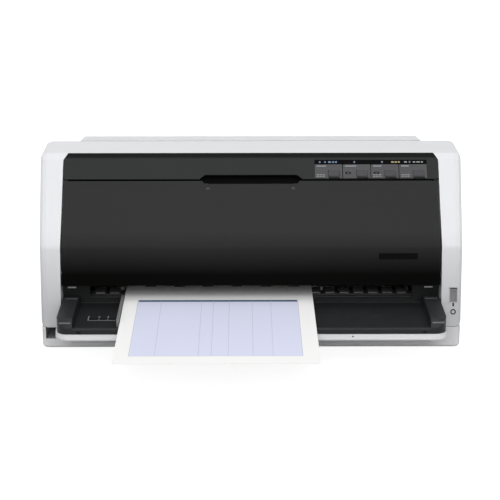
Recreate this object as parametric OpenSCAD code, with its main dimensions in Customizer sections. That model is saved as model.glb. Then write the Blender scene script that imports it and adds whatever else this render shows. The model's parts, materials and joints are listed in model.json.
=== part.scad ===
// Flatbed dot matrix printer for a desk: outer case, hinged front cover, sheet guides,
// paper path with feed rollers, and the carriage with its print head.
// Millimetres, +Z up, front towards -Y, origin at the bottom centre of the whole printer
// with the sheet that it holds.
// Depths are measured from the nose, the bend line of the front face.

/* [Case] */
// Greatest width across the two side towers
case_w = 488; // [478:1:508]
// Greatest width of one side tower
tower_w = 27; // [26:0.5:30]
// How far the outer faces of the towers draw in towards the front
tower_taper = 4.7; // [3:0.1:5.5]
// Wall thickness of the outer case
case_wall = 3; // [2.5:0.1:3.5]
// Rounding of the outer edges of the towers
tower_edge_r = 7; // [4:0.5:9]
// Height of the rubber feet
foot_h = 2; // [1.5:0.5:4]
// Radius of the rubber feet
foot_r = 9; // [7:0.5:12]
// Height of the seam between the lower and the upper case
seam_z = 25; // [23:0.5:27]
// Height of the nose, where the front face bends
nose_z = 115; // [110:1:120]
// How far the foot of the towers stands in front of the nose
toe = 18; // [14:1:20]
// Slope of the upper front face, from the horizontal
face_slope = 53.5; // [51:0.5:56]
// Length of the upper front face along its slope
face_len = 107.7; // [104:0.1:110]
// Depth and height of the bevel between the front face and the roof
bevel_run = 8; // [6:0.5:10]
bevel_rise = 5.2; // [4:0.2:6]
// Depth of the flat part of the roof
roof_flat = 59; // [54:1:64]
// Slope of the rear part of the roof, from the horizontal
rear_slope = 26; // [22:1:28]
// Distance of the rear face behind the nose
rear_y = 276; // [270:1:284]
// Depth of the slanted edge between the roof and the rear face
rear_cut = 14; // [10:1:16]
// How far the lower case stands inside the faces of the towers
base_step = 5; // [4.5:0.5:6.5]
// Radius of the upright corners of the lower case
base_corner_r = 8; // [6:1:12]

/* [Front cover] */
// Gap between the front cover and each tower
cover_gap = 1.5; // [1:0.1:2]
// Wall thickness of the front cover
cover_wall = 3; // [2.5:0.1:3.5]
// Height of the cover's lower edge
cover_low_z = 72; // [70:0.5:74]
// Width of the seam above the cover
cover_seam = 2.3; // [1.6:0.1:3]
// Length of the panel strip along the slope
strip_len = 27.2; // [26:0.1:30]
// Thickness of the panel strip
strip_t = 1.8; // [1.5:0.1:2.2]
// Cut at the upper corners of the panel strip
corner_cut = 5; // [3:0.5:6]
// Hinge axis of the cover: distance behind the nose and height
hinge_y = 6; // [5:0.5:7]
hinge_z = 82; // [80:0.5:84]
// Radius of the hinge pins
hinge_pin_r = 3; // [2.5:0.1:3.5]
// Width and height of the finger recess
grip_w = 122; // [110:1:130]
grip_h = 7.6; // [7:0.1:9]
// Depth of the finger lip in the cover's top edge
lip_drop = 3.2; // [3:0.1:4]

/* [Control panel] */
// Distance of the key panel from the right tower, and its width
keys_edge = 13.7; // [12:0.1:18]
keys_w = 129.6; // [128:0.1:132]
// Height of the dark header above the key fields
header_h = 5.5; // [5:0.1:5.6]
// Height of the key fields
field_h = 17; // [16:0.1:17.2]
// Gap between the key fields
field_gap = 0.8; // [0.6:0.1:1]
// Width and height of a push button
button_w = 12.6; // [11:0.1:13]
button_h = 7.3; // [6:0.1:8]
// Travel of a push button
button_travel = 0.8; // [0.5:0.1:1]
// Clearance round a push button
button_gap = 0.3; // [0.2:0.05:0.4]

/* [Power switch] */
// Place of the power rocker on the right tower: distance from its outer face, and height
switch_edge = 13.6; // [13:0.1:15.5]
switch_z = 61; // [58:0.5:62]
// Width and height of the power rocker
rocker_w = 7.8; // [6:0.1:8]
rocker_h = 15.8; // [14:0.1:16]

/* [Sheet and sheet guides] */
// Size of the loaded sheet
sheet_w = 215.9; // [210:0.1:216]
sheet_l = 279.4; // [270:0.1:297]
sheet_t = 0.4; // [0.3:0.05:0.5]
// Left edge of the sheet and its near end in front of the nose
sheet_x = -145.2; // [-150:0.1:-140]
sheet_front = 186.7; // [180:0.1:190]
// Slope of the paper path, down towards the front
path_slope = 1.45; // [1:0.05:2]
// Height of the paper path at the nose
path_z = 54; // [53:0.1:55]
// Clearance between the front sheet guide and each tower
tray_gap = 2.4; // [1.5:0.1:4]
// How far the front sheet guide stands in front of the nose
tray_front = 84; // [80:1:88]
// Height of the floor, the lip and the arms of the front sheet guide
tray_floor_z = 45; // [44:0.5:46]
tray_lip_z = 48.4; // [48:0.1:49]
arm_z = 57.8; // [56:0.2:60]
// Width of one arm
arm_w = 17.8; // [15:0.2:18]
// Thickness of the floor of the front sheet guide
tray_t = 3.2; // [2.6:0.1:3.6]
// Thickness of the light apron under the front sheet guide
apron_t = 5.5; // [5:0.5:7]
// Distance of the rear sheet guide from the towers, and its thickness
flap_edge = 12.7; // [11:0.1:20]
flap_t = 6; // [4:0.2:6.4]

/* [Paper feed] */
// Radius of the feed roller sleeves and of their shafts
roller_r = 8; // [7:0.5:9]
roller_shaft_r = 4; // [3.5:0.1:4.5]
// Radius of the pinch rollers and of their shafts
pinch_r = 5; // [4.5:0.1:5.5]
pinch_shaft_r = 2.5; // [2:0.1:3]
// Distance of the front roller, the print line and the rear roller behind the nose
front_roller_y = 36; // [35:0.5:37]
print_y = 66; // [65:0.5:67]
rear_roller_y = 104; // [103:0.5:105]
// Number and width of the sleeves on the front roller
sleeve_n = 22; // [18:1:22]
sleeve_w = 12; // [10:0.5:13]
// Clearance between the sheet and what it passes
sheet_gap = 0.25; // [0.2:0.05:0.4]
// Teeth of the roller gears and of the motor pinion
gear_teeth = 36; // [36:1:36]
pinion_teeth = 12; // [12:1:12]
// Face width of the gears
gear_w = 6; // [5:0.5:7]

/* [Carriage] */
// Radius, depth and height of the carriage shaft
guide_r = 6; // [5:0.5:7]
guide_y = 98; // [97:0.5:99]
guide_z = 84; // [83:0.5:86]
// Width of the carriage
carriage_w = 60; // [54:1:64]
// Running clearance of shafts in their bores
run_gap = 0.05; // [0.03:0.01:0.09]
// Distance of the side frames from the towers
frame_inset = 25; // [24:0.5:27]
// Thickness of the steel sheet of the frames
frame_t = 2; // [1.5:0.1:2.5]
// Radius of the belt pulleys and their distance from the side frames
pulley_r = 7; // [6:0.5:8]
pulley_edge = 27; // [24:1:32]
// Thickness and width of the timing belt
belt_t = 1.5; // [1.2:0.1:1.8]
belt_w = 6; // [5:0.5:7]

/* [Hidden] */
$fn = 48;

// Depth of the nose in the model's own frame: the whole printer is centred on its box
port_out = 6;
nose_y = (sheet_front - rear_y - port_out) / 2;
inner_x = case_w / 2 - tower_w;
face_dir = [cos(face_slope), sin(face_slope)];
face_top = [0, nose_z] + face_dir * face_len;
seam_s = face_len - strip_len;
bevel_top = face_top + [bevel_run, bevel_rise];
crown_z = bevel_top[1];
crest = bevel_top + [roof_flat, 0];
rear_top = [rear_y - rear_cut, crown_z - (rear_y - rear_cut - crest[0]) * tan(rear_slope)];
rear_edge_z = rear_top[1] - rear_cut * 1.2;
toe_slope = atan2(nose_z - seam_z, toe);
cover_low = [-(nose_z - cover_low_z) / tan(toe_slope), cover_low_z];
cover_half = inner_x - cover_gap;
strip_half = inner_x - 0.3;
base_half = case_w / 2 - base_step;
base_front = toe + 4;
base_rear = rear_y - base_step;
apron_top = tray_floor_z - tray_t - 0.3;
apron_z = apron_top - apron_t;
tray_half = inner_x - tray_gap;
arm_in = tray_half - arm_w;
pan_z = foot_h + case_wall + 0.3;
pan_top = pan_z + frame_t;
frame_x = inner_x - frame_inset;
sleeve_pitch = (2 * frame_x - 16.6) / sleeve_n;
pulley_x = frame_x - pulley_edge;
flap_half = inner_x - flap_edge;
keys_x = inner_x - keys_edge - keys_w;
switch_x = case_w / 2 - switch_edge;
foot_x = inner_x - 27;
gear_x = frame_x + frame_t + 4;
idler_teeth = rear_roller_y - front_roller_y - gear_teeth;
pinion_angle = -round(60 / (360 / idler_teeth)) * 360 / idler_teeth;
roller_drop = sheet_t + sheet_gap + roller_r;
pinch_lift = sheet_gap + pinch_r;

case_white = [0.90, 0.90, 0.91];
case_grey = [0.80, 0.80, 0.82];
smoke = [0.17, 0.17, 0.17];
dark = [0.14, 0.14, 0.15];
field_grey = [0.40, 0.42, 0.42];
steel = [0.70, 0.71, 0.73];
rubber = [0.12, 0.12, 0.12];
sleeve_grey = [0.55, 0.55, 0.55];

// ---- Plane outlines ----
function unit(v) = v / norm(v);
function left_of(v) = [-v[1], v[0]];
function turned(v, a) = [v[0] * cos(a) - v[1] * sin(a), v[0] * sin(a) + v[1] * cos(a)];
function reversed(list) = [for (i = [len(list) - 1 : -1 : 0]) list[i]];

// Corner b between a and c, rounded to radius r by an arc of n steps
function corner(a, b, c, r, n = 6) =
  r <= 0 ? [b] :
  let (
    u = unit(a - b),
    v = unit(c - b),
    half = acos(u * v) / 2,
    centre = b + unit(u + v) * (r / sin(half)),
    start = b + u * (r / tan(half)) - centre,
    side = cross(u, v) > 0 ? -1 : 1
  )
  [for (i = [0 : n]) centre + turned(start, side * (180 - 2 * half) * i / n)];

// Closed outline with a radius for each corner
function rounded(pts, radii) =
  let (n = len(pts))
  [for (i = [0 : n - 1]) each corner(pts[(i + n - 1) % n], pts[i], pts[(i + 1) % n], radii[i])];

// Open line with a radius for each inner corner
function bent(pts, radii) =
  let (n = len(pts))
  [
    pts[0],
    for (i = [1 : n - 2]) each corner(pts[i - 1], pts[i], pts[i + 1], radii[i - 1]),
    pts[n - 1]
  ];

// Point b moved by d to the left of the line a, b, c
function mitred(a, b, c, d) =
  let (u = left_of(unit(b - a)), v = left_of(unit(c - b)), m = unit(u + v))
  b + m * (d / (m * u));

// Open line moved by d to its left
function beside(pts, d) =
  let (n = len(pts))
  [
    pts[0] + left_of(unit(pts[1] - pts[0])) * d,
    for (i = [1 : n - 2]) mitred(pts[i - 1], pts[i], pts[i + 1], d),
    pts[n - 1] + left_of(unit(pts[n - 1] - pts[n - 2])) * d
  ];

// Closed clockwise outline moved inwards by d
function inset(pts, d) =
  let (n = len(pts))
  [for (i = [0 : n - 1]) mitred(pts[(i + n - 1) % n], pts[i], pts[(i + 1) % n], -d)];

// Wall of thickness t to the right of an open line
function walled(line, t) = concat(line, reversed(beside(line, -t)));

// Point on the upper front face, s along the slope from the nose
function on_face(s) = [0, nose_z] + face_dir * s;

// ---- Placing ----
// From depths behind the nose to the model's own frame
module placed() translate([0, nose_y, 0]) children();

// Outline in depth and height, drawn out from x0 to x1
module across(x0, x1) translate([x0, 0, 0]) rotate([90, 0, 90]) linear_extrude(x1 - x0) children();

module both_sides() {
  children();
  mirror([1, 0, 0]) children();
}

// Frame on the upper front face: X across, Y up the slope from the cover seam, Z outwards
module on_slope()
  translate([0, on_face(seam_s)[0], on_face(seam_s)[1]])
    rotate([face_slope, 0, 0])
      children();

// Frame on the lower front face of a tower, with its origin at height z
module on_toe(z) translate([0, -(nose_z - z) / tan(toe_slope), z]) rotate([toe_slope, 0, 0]) children();

// Frame along the paper path: Y along the sheet from the nose, Z above its upper face
module on_path() translate([0, 0, path_z]) rotate([path_slope, 0, 0]) children();

// Box from its low corner to its high corner
module block(low, high) translate(low) cube(high - low);

// Round bar along X from x0 to x1
module bar(x0, x1, r) translate([x0, 0, 0]) rotate([0, 90, 0]) cylinder(h = x1 - x0, r = r);

// Plate in plan with rounded corners
function plan(x, y0, y1, r0, r1) =
  rounded([[-x, y0], [-x, y1], [x, y1], [x, y0]], [r0, r1, r1, r0]);

// ---- Case ----
// Side outline of the towers, closed at height low
function case_outline(low) =
  rounded(
    [
      [-(nose_z - low) / tan(toe_slope), low],
      [0, nose_z],
      face_top,
      bevel_top,
      crest,
      rear_top,
      [rear_y, rear_edge_z],
      [rear_y, low]
    ],
    [0, 14, 5, 4, 10, 12, 10, 0]
  );

// Depth at which the towers reach their full width
waist = bevel_top[0];

module tower() {
  edge_steps = [0, 35, 62, 90];
  draw = tower_taper / (waist + toe);
  hull()
    for (a = edge_steps) {
      side = inset(case_outline(seam_z), tower_edge_r * (1 - cos(a)) * 0.8);
      outer = case_w / 2 - tower_edge_r * (1 - sin(a));
      across(inner_x, outer - tower_taper) polygon(side);
      across(outer - 1, outer) polygon([for (p = side) [max(p[0], waist), p[1]]]);
      // outer face drawn in towards the front
      multmatrix([[1, draw, 0, -draw * waist], [0, 1, 0, 0], [0, 0, 1, 0], [0, 0, 0, 1]])
        across(outer - 1, outer) polygon([for (p = side) [min(p[0], waist), p[1]]]);
    }
}

// Rear window for continuous paper
module rear_window() block([-frame_x + 4, rear_y - 12, 50], [frame_x - 4, rear_y + 2, 96]);

inlet_x = 21 - inner_x;
port_x = inner_x - 127;
usb_x = frame_x - 24;
port_z = 37;

module rear_sockets_cut() {
  block([inlet_x - 15.3, rear_y - 12, port_z - 11.3], [inlet_x + 15.3, rear_y + 2, port_z + 11.3]);
  block([port_x - 37.3, rear_y - 12, port_z - 8.3], [port_x + 37.3, rear_y + 2, port_z + 8.3]);
  block([usb_x - 8.3, rear_y - 12, port_z - 7.3], [usb_x + 8.3, rear_y + 2, port_z + 7.3]);
}

screw_x = [-inner_x - 9, -40, 30, inner_x + 9];
screw_z = 32;

module upper_case() {
  roof_line = bent(
    [bevel_top, crest, rear_top, [rear_y, rear_edge_z], [rear_y, seam_z]],
    [10, 12, 10]
  );
  color(case_white)
    placed()
      difference() {
        union() {
          both_sides() tower();
          across(-inner_x, inner_x) polygon(walled(roof_line, case_wall));
          roof_ears();
          // ledge that carries the panel strip
          across(-inner_x, inner_x)
            polygon(walled(
              beside(
                [bevel_top + (face_top - bevel_top) * 0.6, bevel_top, bevel_top + [6, 0]],
                -strip_t - 0.2
              ),
              2.4
            ));
          // cut corners beside the panel strip
          intersection() {
            across(-inner_x - 1, inner_x + 1)
              polygon(walled(
                bent([on_face(seam_s), face_top, bevel_top, bevel_top + [8, 0]], [5, 4]),
                case_wall
              ));
            strip_corners(0);
          }
        }
        // hollow towers, open below
        hollow = inset(case_outline(seam_z - 12), case_wall + 0.6);
        both_sides() {
          across(inner_x + case_wall, case_w / 2 - case_wall - tower_taper) polygon(hollow);
          across(inner_x + case_wall, case_w / 2 - case_wall)
            polygon([for (p = hollow) [max(p[0], waist), p[1]]]);
        }
        // opening in the roof under the rear sheet guide
        roof_window();
        rear_window();
        rear_sockets_cut();
        // bores of the cover's hinge pins
        both_sides()
          translate([0, hinge_y, hinge_z]) bar(inner_x - 1, inner_x + case_wall + 1, hinge_pin_r + run_gap);
        // bores of the guide studs
        both_sides()
          translate([0, stud_y, stud_z]) bar(inner_x - 1, inner_x + case_wall + 1, stud_r + run_gap);
        // window of the power switch
        on_toe(switch_z) switch_block(bezel_rim + 0.2, -14, 4);
        for (x = screw_x)
          translate([x, rear_y - 10, screw_z]) rotate([-90, 0, 0]) cylinder(h = 20, r = 1.7);
        rear_vents();
      }
}

module roof_window()
  block([-flap_half + 14, crest[0] + 24, 100], [flap_half - 14, rear_y - 52, crown_z + 20]);

module rear_vents() {
  vent_x = inlet_x + 46;
  for (i = [0 : 11])
    block([vent_x + i * 8, rear_y - 10, 28], [vent_x + 3.5 + i * 8, rear_y + 2, 44]);
}

module lower_case() {
  outline = plan(base_half, -base_front, base_rear, base_corner_r, base_corner_r);
  groove_half = inner_x - 12;
  base_edge = 1.2;
  lip = 4;
  color(case_grey)
    placed()
      difference() {
        union() {
          difference() {
            hull() {
              translate([0, 0, foot_h]) linear_extrude(1) polygon(inset(outline, base_edge));
              translate([0, 0, foot_h + 2]) linear_extrude(seam_z - foot_h - 2) polygon(outline);
            }
            translate([0, 0, foot_h + case_wall]) linear_extrude(60) polygon(inset(outline, case_wall));
          }
          // front wall up to the apron
          block(
            [-inner_x + 0.5, -base_front, foot_h + 4],
            [inner_x - 0.5, -base_front + case_wall, apron_top]
          );
          // light apron under the front sheet guide, with a slanted lip
          hull() {
            translate([0, 0, apron_z])
              linear_extrude(1.2) polygon(plan(inner_x - 0.5, -tray_front - 0.4 - lip, 8, 16, 1));
            translate([0, 0, apron_z])
              linear_extrude(apron_t) polygon(plan(inner_x - 0.5, -tray_front - 0.4, 8, 14, 1));
          }
          // ribs under the apron
          for (i = [-2 : 2], x = i * (inner_x - 57) / 2)
            across(x - 1.5, x + 1.5)
              polygon([
                [-base_front, 14],
                [-base_front, apron_z + 1],
                [-tray_front + 8, apron_z + 1],
                [-tray_front + 8, apron_z - 1]
              ]);
        }
        // groove along the foot of the front wall
        block([-groove_half, -base_front - 1, 7.6], [groove_half, -base_front + 0.8, 9.2]);
        // notch at the left end of the front
        block([-base_half + 4.7, -base_front - 1, 12], [-inner_x + 0.5, -base_front + 16, 40]);
      }
}

module rubber_feet() {
  color(rubber)
    placed()
      for (x = [-foot_x, foot_x], y = [4, rear_y - 40])
        translate([x, y, 0]) cylinder(h = foot_h, r1 = foot_r - 1, r2 = foot_r);
}

module case_screws() {
  color(steel)
    placed()
      for (x = screw_x)
        translate([x, rear_y, screw_z])
          rotate([-90, 0, 0])
            difference() {
              union() {
                cylinder(h = 1.8, r1 = 3.6, r2 = 2.9);
                translate([0, 0, -7]) cylinder(h = 7.5, r = 1.6);
              }
              block([-2.2, -0.4, 1], [2.2, 0.4, 3]);
              block([-0.4, -2.2, 1], [0.4, 2.2, 3]);
            }
}

// ---- Front cover ----
module front_cover() {
  line = cover_line();
  color(smoke)
    placed()
      difference() {
        union() {
          across(-cover_half, cover_half) polygon(walled(line, cover_wall));
          // stiffening flange along the top edge
          on_slope() block([-cover_half, -cover_wall, -9], [cover_half, 0, -cover_wall + 0.1]);
          // end walls with the hinge ears
          both_sides()
            across(cover_half - 3, cover_half) cover_ear();
          // ribs on the inside
          for (i = [-3 : 3], x = i * (inner_x - 67) / 3)
            across(x - 1, x + 1) polygon(walled(line, cover_wall + 3));
        }
        both_sides()
          translate([0, hinge_y, hinge_z]) bar(cover_half - 4, cover_half + 1, hinge_pin_r + 0.02);
        // finger lip in the top edge
        on_slope()
          translate([0, 0, -cover_wall - 8])
            linear_extrude(cover_wall + 12)
              polygon([
                [-grip_w / 2 + 4, 1],
                [grip_w / 2 - 4, 1],
                [grip_w / 2 - 4 - lip_drop, -lip_drop],
                [-grip_w / 2 + 4 + lip_drop, -lip_drop]
              ]);
        // sloped scoop that leads the finger under the edge
        on_slope()
          translate([0, -lip_drop - 5, 0])
            rotate([-14, 0, 0])
              block([-grip_w / 2 + 12, 0, 0], [grip_w / 2 - 12, 7, 4]);
      }
}

// Hinge ear of the cover, round the pin and tied to the lower wall
module cover_ear() {
  difference() {
    union() {
      polygon(walled(cover_line(), cover_wall + 3));
      translate([hinge_y, hinge_z]) circle(hinge_pin_r + 3.6);
      polygon([
        cover_low + [1, 1],
        cover_low + [4, 26],
        [hinge_y + 3, hinge_z + 5],
        [hinge_y + 1, hinge_z - 6.4]
      ]);
    }
    // clear of the wall's outer face
    polygon(concat(cover_line(), [[-60, on_face(seam_s)[1]], [-60, cover_low_z]]));
  }
}

function cover_line() = bent([cover_low, [0, nose_z], on_face(seam_s)], [7]);

module cover_pins() {
  color(steel)
    placed()
      both_sides()
        translate([0, hinge_y, hinge_z]) bar(cover_half - 3, inner_x + case_wall - 0.4, hinge_pin_r);
}

// ---- Panel strip and keys ----
keys_s = 3.4;
key_recess = 1.2;
field_w = (keys_w - 3 * field_gap) / 4;
button_x = 22.1;
button_s = keys_s + 5.7;

// Corners cut off the strip's upper ends, grown by d
module strip_corners(d)
  both_sides()
    translate([0, 0, crown_z - 16])
      linear_extrude(30)
        polygon([
          [inner_x + 1, face_top[0] - 1 - d],
          [inner_x, face_top[0] - 1 - d],
          [inner_x - corner_cut - d, bevel_top[0]],
          [inner_x - corner_cut - d, bevel_top[0] + 1],
          [inner_x + 1, bevel_top[0] + 1]
        ]);

module panel_strip() {
  line = bent([on_face(seam_s + cover_seam), face_top, bevel_top + [-0.05, 0]], [5]);
  color(dark)
    placed()
      difference() {
        across(-strip_half, strip_half) polygon(walled(line, strip_t));
        // finger recess
        on_slope()
          translate([0, 0, -14])
            linear_extrude(20)
              polygon([
                [-grip_w / 2, cover_seam - 1],
                [-grip_w / 2 + grip_h + 0.4, grip_h],
                [grip_w / 2 - grip_h - 0.4, grip_h],
                [grip_w / 2, cover_seam - 1]
              ]);
        // clear of the roof
        block([-inner_x, bevel_top[0] - 0.05, crown_z - 20], [inner_x, bevel_top[0] + 20, crown_z + 5]);
        strip_corners(0.3);
        // seat of the key panel
        on_slope()
          block(
            [keys_x - 0.2, keys_s - 0.2, -14],
            [keys_x + keys_w + 0.2, keys_s + field_h + header_h + 0.2, 4]
          );
      }
}

module button_openings(gap, low, high) {
  for (i = [0 : 3])
    translate([keys_x + i * (field_w + field_gap) + button_x, button_s, 0])
      block([-button_w / 2 - gap, -button_h / 2 - gap, low], [button_w / 2 + gap, button_h / 2 + gap, high]);
}

module panel_bezel() {
  color([0.05, 0.05, 0.06])
    placed()
      on_slope()
        difference() {
          union() {
            block([keys_x, keys_s, -5], [keys_x + keys_w, keys_s + field_h + header_h, -key_recess]);
            block([keys_x, keys_s + field_h, -5], [keys_x + keys_w, keys_s + field_h + header_h, -0.3]);
          }
          button_openings(button_gap, -6, 1);
          for (i = [0 : 4])
            translate([light_x(i), light_s, -1.5]) cylinder(h = 3, r = light_r + 0.05);
        }
}

module key_fields() {
  color(field_grey)
    placed()
      on_slope()
        difference() {
          for (i = [0 : 3])
            translate([keys_x + i * (field_w + field_gap), keys_s, -key_recess])
              linear_extrude(key_recess)
                polygon(rounded(
                  [[0, 0], [0, field_h - 0.1], [field_w, field_h - 0.1], [field_w, 0]],
                  [1, 1, 1, 1]
                ));
          button_openings(button_gap, -6, 2);
        }
}

// Push button in key field i, with a rim under the field
module push_button(i) {
  placed()
    on_slope()
      translate([keys_x + i * (field_w + field_gap) + button_x, button_s, 0]) {
        translate([0, 0, -4.6])
          linear_extrude(4.6 + button_travel + 0.4)
            polygon(rounded(
              [
                [-button_w / 2, -button_h / 2],
                [-button_w / 2, button_h / 2],
                [button_w / 2, button_h / 2],
                [button_w / 2, -button_h / 2]
              ],
              [1, 1, 1, 1]
            ));
        translate([0, 0, -6.6])
          block([-button_w / 2 - 1, -button_h / 2 - 1, 0], [button_w / 2 + 1, button_h / 2 + 1, 1.2]);
        translate([0, 0, -5.5]) cylinder(h = 1, r = 2);
      }
}

module pause_button() color(field_grey) push_button(3);
module tear_off_button() color(field_grey) push_button(1);
module font_button() color(field_grey) push_button(0);
module feed_button() color(field_grey) push_button(2);

light_r = 1.1;
light_s = keys_s + field_h + header_h / 2;
function light_x(i) = keys_x + 6 + [0, 6, 40, 72, 104][i];

module indicator_lights() {
  color([0.55, 0.75, 0.95])
    placed()
      on_slope()
        for (i = [0 : 4])
          translate([light_x(i), light_s, -1.5]) cylinder(h = 1.7, r = light_r);
}

// ---- Power switch ----
bezel_rim = 0.9;

// Block round the rocker's outline, grown by d, between two heights
module switch_block(d, low, high)
  block(
    [switch_x - rocker_w / 2 - d, -rocker_h / 2 - d, low],
    [switch_x + rocker_w / 2 + d, rocker_h / 2 + d, high]
  );

module switch_bezel() {
  color(dark)
    placed()
      on_toe(switch_z)
        difference() {
          union() {
            switch_block(bezel_rim, -12, 0.4);
            switch_block(bezel_rim + 0.3, 0, 0.8);
          }
          switch_block(0.2, -10.5, 2);
        }
}

// Half angle of the rocker: it rests with its lower end pressed in
rocker_tilt = 7;
// Depth of the rocker's axis under the tower's face
rocker_depth = 4.2;

// Height of the rocker's face over its axis, lowest in the middle
function rocker_face(y) = 3.5 + 0.7 * abs(y) / (rocker_h / 2 - 0.5);

module power_rocker() {
  grips = 10;
  pitch = (rocker_h - 3) / (grips - 1);
  color([0.38, 0.38, 0.39])
    placed()
      on_toe(switch_z)
        translate([0, 0, -rocker_depth])
          rotate([rocker_tilt, 0, 0])
            across(switch_x - rocker_w / 2, switch_x + rocker_w / 2)
              polygon(concat(
                [for (a = [150 : 30 : 390]) 2.4 * [cos(a), sin(a)]],
                [[rocker_h / 2 - 0.5, 2.8], [rocker_h / 2 - 0.5, rocker_face(rocker_h / 2 - 0.5)]],
                // ribs across the face
                [
                  for (i = [0 : grips - 1], y = rocker_h / 2 - 1.5 - i * pitch)
                    each [
                      [y + 0.4, rocker_face(y + 0.4)],
                      [y + 0.3, rocker_face(y) + 0.45],
                      [y - 0.3, rocker_face(y) + 0.45],
                      [y - 0.4, rocker_face(y - 0.4)]
                    ]
                ],
                [[-rocker_h / 2 + 0.5, rocker_face(rocker_h / 2 - 0.5)], [-rocker_h / 2 + 0.5, 2.8]]
              ));
}

// ---- Front sheet guide ----
arm_rear = 12;
stud_y = 27;
stud_z = 60;
stud_r = 1.2;

module front_sheet_guide() {
  arm_line = rounded(
    [
      [-tray_front, tray_floor_z - tray_t],
      [-tray_front, tray_lip_z],
      [-tray_front + 5, arm_z],
      [-6, arm_z],
      [-4, arm_z - 6],
      [arm_rear, arm_z - 6],
      [arm_rear, tray_floor_z - tray_t]
    ],
    [0, 5, 5, 1, 0, 1, 0]
  );
  color(dark)
    placed()
      difference() {
        union() {
          intersection() {
            union() {
              across(-tray_half, tray_half)
                polygon(rounded(
                  [
                    [-tray_front, tray_floor_z - tray_t],
                    [-tray_front, tray_lip_z],
                    [-tray_front + 5, tray_lip_z],
                    [-tray_front + 6.5, tray_floor_z],
                    [7.5, tray_floor_z],
                    [8.5, tray_floor_z + 1],
                    [9.5, tray_floor_z],
                    [9.5, tray_floor_z - tray_t]
                  ],
                  [0, 2.2, 1.2, 0.6, 0, 0, 0, 0]
                ));
              both_sides() across(arm_in, tray_half) polygon(arm_line);
            }
            // rounded front corners in plan
            linear_extrude(200) polygon(plan(tray_half, -tray_front, arm_rear, 12, 0.5));
          }
        }
        // slots in the front face
        for (x = [-arm_in + 7, arm_in - 7])
          block(
            [x - 2.3, -tray_front - 1, tray_floor_z - tray_t + 1],
            [x + 2.3, -tray_front + 2, tray_floor_z]
          );
        // ribs of the grip pattern on the rear steps of the arms
        both_sides()
          for (i = [0 : 2])
            block([arm_in + 2, -1.5 + i * 4.4, arm_z - 7], [tray_half - 2, 0.7 + i * 4.4, arm_z]);
        // track of the edge guide
        block([-arm_in + 14.8, -46, tray_floor_z - 1.4], [sheet_x + 85, -42, tray_floor_z + 1]);
      }
}

module edge_guide() {
  fence_x = sheet_x - 3.6;
  color([0.62, 0.63, 0.64])
    placed()
      union() {
        block([fence_x, -tray_front + 8, tray_floor_z + 0.3], [fence_x + 2.8, 4, path_z + 2]);
        block([fence_x, -60, tray_floor_z + 0.3], [fence_x + 34, -28, tray_floor_z + 1.8]);
        block([fence_x + 4, -45.8, tray_floor_z - 1.1], [fence_x + 24, -42.2, tray_floor_z + 0.5]);
      }
}

module guide_studs() {
  color(steel)
    placed()
      both_sides()
        translate([0, stud_y, stud_z])
          union() {
            bar(gear_x + gear_w + 1, inner_x + case_wall, stud_r);
            bar(inner_x - 1.5, inner_x - 0.1, 2.2);
          }
}

// ---- Rear sheet guide, resting on the roof ----

module rear_sheet_guide() {
  roof_line = [crest + turned([1.5, 0], -rear_slope), rear_top + turned([-14, 0], -rear_slope)];
  seat = beside(roof_line, 0.3);
  top = beside(roof_line, flap_t);
  n = len(seat);
  color(case_white)
    placed()
      difference() {
        union() {
          hull() {
            across(-flap_half, flap_half) polygon([seat[0], seat[1], top[1]]);
            across(-flap_half + flap_t, flap_half - flap_t) polygon(concat(seat, reversed(top)));
          }
          // hinge barrels
          for (x = flap_barrels) {
            translate([0, flap_pin[0], flap_pin[1]]) bar(x - 16, x + 16, barrel_r);
            across(x - 16, x + 16)
              polygon([
                seat[n - 1],
                seat[n - 1] + turned([-4, 0], -rear_slope),
                top[n - 1] + turned([-4, 0], -rear_slope),
                top[n - 1],
                flap_pin + turned([0, barrel_r - 0.1], -rear_slope),
                flap_pin
              ]);
          }
        }
        translate([0, flap_pin[0], flap_pin[1]]) bar(-flap_half - 1, flap_half + 1, rod_r + run_gap);
      }
}

flap_pin = rear_top + turned([-9, 4.8], -rear_slope);
flap_barrels = [49 - flap_half, 0, flap_half - 49];
rod_r = 2;
barrel_r = 4.2;

module rear_guide_rod() {
  color(steel)
    placed()
      translate([0, flap_pin[0], flap_pin[1]]) bar(23 - flap_half, flap_half - 23, rod_r);
}

// Ears on the roof that hold the rod beside each barrel
module roof_ears() {
  for (x = flap_barrels, side = [-1, 1])
    across(x + side * 18.5 - 2, x + side * 18.5 + 2)
      difference() {
        union() {
          translate(flap_pin) circle(barrel_r);
          polygon([
            flap_pin + turned([-barrel_r, 0], -rear_slope),
            flap_pin + turned([barrel_r, 0], -rear_slope),
            flap_pin + turned([barrel_r, -6], -rear_slope),
            flap_pin + turned([-barrel_r, -6], -rear_slope)
          ]);
        }
        translate(flap_pin) circle(rod_r + 0.02);
      }
}

// ---- Rear sockets ----
module mains_inlet() {
  color(rubber)
    placed()
      translate([inlet_x, rear_y, port_z])
        difference() {
          union() {
            block([-15, -22, -11], [15, 0, 11]);
            block([-19, 0, -13.5], [19, 1.8, 13.5]);
          }
          // socket with three blades in it
          difference() {
            block([-12, -16, -8.2], [12, 3, 8.2]);
            for (x = [-7, 0, 7])
              block([x - 1, -17, (x == 0 ? 1 : -3.5)], [x + 1, -2, (x == 0 ? 5 : 0.5)]);
          }
        }
}

module parallel_port() {
  color(steel)
    placed()
      translate([port_x, rear_y, port_z])
        difference() {
          union() {
            block([-37, -16, -8], [37, -0.2, 8]);
            translate([0, port_out, 0]) rotate([90, 0, 0]) linear_extrude(7) polygon(port_outline(33, 7.2));
          }
          translate([0, 7, 0]) rotate([90, 0, 0]) linear_extrude(9) polygon(port_outline(32.2, 6.4));
          block([-30, -4, -1.8], [30, 4, 1.8]);
        }
  color(dark)
    placed()
      translate([port_x, rear_y, port_z])
        block([-29, -4, -1.7], [29, 4.6, 1.7]);
}

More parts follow.
